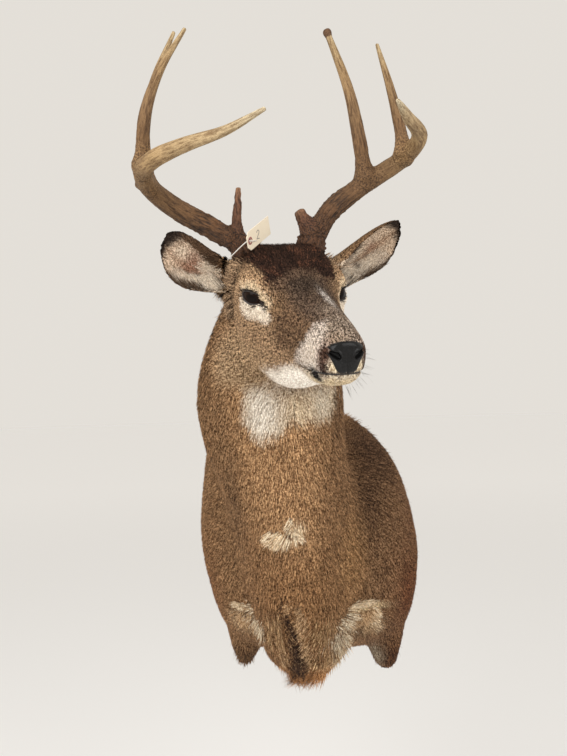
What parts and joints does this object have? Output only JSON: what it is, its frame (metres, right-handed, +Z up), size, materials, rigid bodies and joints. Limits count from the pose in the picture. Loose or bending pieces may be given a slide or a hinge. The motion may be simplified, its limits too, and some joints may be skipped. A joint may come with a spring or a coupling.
{
  "type": "whitetail buck shoulder mount",
  "caption": "Mounted head, neck and shoulders of an antlered whitetail buck, to hang flat on a wall, with its head turned to one side.",
  "frame": {"origin": "middle of the back board's rear face, on the wall", "axes": "+Y into the wall, +Z up, +X to the buck's left, so it looks out along -Y"},
  "size_m": [0.4002, 0.6215, 0.9742],
  "materials": {
    "coat": "short dense hair, brown ticked with black and tan, with white patches",
    "ear_hair": "short brown hair outside, long pale hair inside, dark rim",
    "nose_skin": "moist black pebbled skin",
    "eye": "polished, nearly black brown",
    "antler": "rough brown bone, darker and beaded at the foot, pale polished tips",
    "board": "bare sawn board",
    "tag_card": "buff card",
    "tag_string": "off-white twisted string"
  },
  "bodies": {
    "root": {"antler_right_beam_lower": "antler", "antler_right_beam_upper": "antler", "antler_right_brow_tine": "antler", "antler_right_g2_tine": "antler", "antler_right_g3_tine": "antler", "antler_left_beam_lower": "antler", "antler_left_beam_upper": "antler", "antler_left_brow_tine": "antler", "antler_left_g2_tine": "antler", "antler_left_g3_tine": "antler", "head": "coat", "lower_jaw": "coat", "neck": "coat", "trunk": "coat", "brisket": "coat", "foreleg_right": "coat", "foreleg_left": "coat", "ear_right": "ear_hair", "ear_left": "ear_hair", "nose_pad": "nose_skin", "eye_right": "eye", "eye_left": "eye", "back_board": "board", "tag": "tag_card", "tag_string": "tag_string"}
  },
  "joints": []
}
